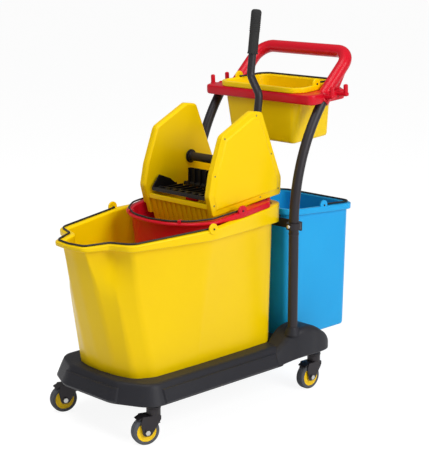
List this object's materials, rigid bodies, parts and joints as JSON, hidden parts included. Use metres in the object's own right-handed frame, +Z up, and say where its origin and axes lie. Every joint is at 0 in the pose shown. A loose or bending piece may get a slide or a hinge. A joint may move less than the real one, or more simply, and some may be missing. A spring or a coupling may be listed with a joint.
{
  "type": "mop bucket trolley",
  "caption": "Wheeled mop bucket trolley: spouted main bucket, inner bucket with down-press wringer and lever, rear bucket behind bent posts, top bin and push handle.",
  "frame": {"origin": "on the floor, at the middle of the trolley's length and width", "axes": "+X forwards, the way the spout points; +Y to the trolley's left; +Z up"},
  "size_m": [0.979, 0.484, 1.1034],
  "materials": {
    "deck_grey": "matte dark grey moulding",
    "black_paint": "satin black powder coat",
    "black_wire": "black coated wire",
    "zinc": "zinc plated",
    "red_gloss": "glossy red moulding",
    "yellow_gloss": "glossy yellow moulding",
    "blue_gloss": "glossy blue moulding",
    "black_plastic": "black moulding",
    "grip_rubber": "ribbed black rubber",
    "wheel_hub": "yellow moulding",
    "grey_tyre": "grey rubber tread"
  },
  "bodies": {
    "frame": {"base_deck": "deck_grey", "left_post": "black_paint", "right_post": "black_paint", "left_clamp": "black_paint", "right_clamp": "black_paint", "clamp_screws": "zinc", "cross_bracket": "black_paint", "handle_tray": "red_gloss", "front_left_socket": "black_paint", "front_right_socket": "black_paint", "rear_left_socket": "black_paint", "rear_right_socket": "black_paint"},
    "main": {"main_bucket": "yellow_gloss"},
    "main_bail": {"main_bail": "black_wire"},
    "inner": {"inner_bucket": "red_gloss"},
    "inner_bail": {"inner_bail": "black_wire"},
    "wringer": {"wringer_basket": "yellow_gloss", "left_cheek": "yellow_gloss", "right_cheek": "yellow_gloss", "left_cover": "yellow_gloss", "right_cover": "yellow_gloss", "cover_screws": "zinc", "left_bush": "black_plastic", "right_bush": "black_plastic", "return_spring": "zinc"},
    "lever": {"lever_shaft": "black_paint", "lever_hub": "black_paint", "lever_tube": "black_paint", "lever_grip": "grip_rubber", "drive_sector": "zinc"},
    "front_press": {"front_plate": "black_plastic", "front_sector": "black_plastic"},
    "rear_press": {"rear_plate": "black_plastic", "rear_sector": "black_plastic"},
    "rear": {"rear_bucket": "blue_gloss"},
    "rear_bail": {"rear_bail": "black_wire"},
    "bin": {"top_bin": "yellow_gloss"},
    "bin_bail": {"bin_bail": "black_wire"},
    "front_left_caster": {"front_left_fork": "black_paint", "front_left_axle": "zinc"},
    "front_left_wheel": {"front_left_hub": "wheel_hub", "front_left_tyre": "grey_tyre"},
    "front_right_caster": {"front_right_fork": "black_paint", "front_right_axle": "zinc"},
    "front_right_wheel": {"front_right_hub": "wheel_hub", "front_right_tyre": "grey_tyre"},
    "rear_left_caster": {"rear_left_fork": "black_paint", "rear_left_axle": "zinc"},
    "rear_left_wheel": {"rear_left_hub": "wheel_hub", "rear_left_tyre": "grey_tyre"},
    "rear_right_caster": {"rear_right_fork": "black_paint", "rear_right_axle": "zinc"},
    "rear_right_wheel": {"rear_right_hub": "wheel_hub", "rear_right_tyre": "grey_tyre"}
  },
  "joints": [
    {"name": "front_left_swivel", "type": "hinge", "parent": "frame", "child": "front_left_caster", "pos_m": [0.34953, 0.172, 0.1], "axis": [0, 0, 1], "continuous": true},
    {"name": "front_left_roll", "type": "hinge", "parent": "front_left_caster", "child": "front_left_wheel", "pos_m": [0.37208, 0.16379, 0.0375], "axis": [0.342, 0.9397, 0], "continuous": true},
    {"name": "front_right_swivel", "type": "hinge", "parent": "frame", "child": "front_right_caster", "pos_m": [0.34953, -0.172, 0.1], "axis": [0, 0, 1], "continuous": true},
    {"name": "front_right_roll", "type": "hinge", "parent": "front_right_caster", "child": "front_right_wheel", "pos_m": [0.37208, -0.18021, 0.0375], "axis": [0.342, 0.9397, 0], "continuous": true},
    {"name": "rear_left_swivel", "type": "hinge", "parent": "frame", "child": "rear_left_caster", "pos_m": [-0.28347, 0.172, 0.1], "axis": [0, 0, 1], "continuous": true},
    {"name": "rear_left_roll", "type": "hinge", "parent": "rear_left_caster", "child": "rear_left_wheel", "pos_m": [-0.2595, 0.17074, 0.0375], "axis": [0.0523, 0.9986, 0], "continuous": true},
    {"name": "rear_right_swivel", "type": "hinge", "parent": "frame", "child": "rear_right_caster", "pos_m": [-0.28347, -0.172, 0.1], "axis": [0, 0, 1], "continuous": true},
    {"name": "rear_right_roll", "type": "hinge", "parent": "rear_right_caster", "child": "rear_right_wheel", "pos_m": [-0.2595, -0.17326, 0.0375], "axis": [0.0523, 0.9986, 0], "continuous": true},
    {"name": "main_lift", "type": "slide", "parent": "frame", "child": "main", "axis": [0, 0, 1], "range_m": [0, 0.15]},
    {"name": "main_bail_swing", "type": "hinge", "parent": "main", "child": "main_bail", "pos_m": [0.16153, 0, 0.5503], "axis": [0, -1, 0], "range_deg": [0, 88]},
    {"name": "inner_lift", "type": "slide", "parent": "main", "child": "inner", "axis": [0, 0, 1], "range_m": [0, 0.15]},
    {"name": "inner_bail_swing", "type": "hinge", "parent": "inner", "child": "inner_bail", "pos_m": [0.02553, 0, 0.57502], "axis": [0, -1, 0], "range_deg": [0, 44]},
    {"name": "wringer_lift", "type": "slide", "parent": "inner", "child": "wringer", "axis": [0, 0, 1], "range_m": [0, 0.12]},
    {"name": "lever_swing", "type": "hinge", "parent": "wringer", "child": "lever", "pos_m": [-0.06197, 0, 0.68063], "axis": [0, 1, 0], "range_deg": [0, 44], "stiffness_Nm_per_rad": 2},
    {"name": "front_press_swing", "type": "hinge", "parent": "wringer", "child": "front_press", "pos_m": [0.06953, 0, 0.6044], "axis": [0, -1, 0], "range_deg": [0, 75.53]},
    {"name": "rear_press_swing", "type": "hinge", "parent": "wringer", "child": "rear_press", "pos_m": [-0.04047, 0, 0.6044], "axis": [0, 1, 0], "range_deg": [0, 78.32]},
    {"name": "rear_lift", "type": "slide", "parent": "frame", "child": "rear", "axis": [0, 0, 1], "range_m": [0, 0.12]},
    {"name": "rear_bail_swing", "type": "hinge", "parent": "rear", "child": "rear_bail", "pos_m": [-0.34297, 0, 0.53381], "axis": [0, 1, 0], "range_deg": [0, 95]},
    {"name": "bin_lift", "type": "slide", "parent": "frame", "child": "bin", "axis": [0.0523, 0, 0.9986], "range_m": [0, 0.15]},
    {"name": "bin_bail_swing", "type": "hinge", "parent": "bin", "child": "bin_bail", "pos_m": [-0.29647, 0, 0.89115], "axis": [0, 1, 0], "range_deg": [0, 90]}
  ],
  "couplings": [
    {"joint": "front_press_swing", "follows": "lever_swing", "ratio": 1.7143},
    {"joint": "rear_press_swing", "follows": "lever_swing", "ratio": 1.7778}
  ]
}
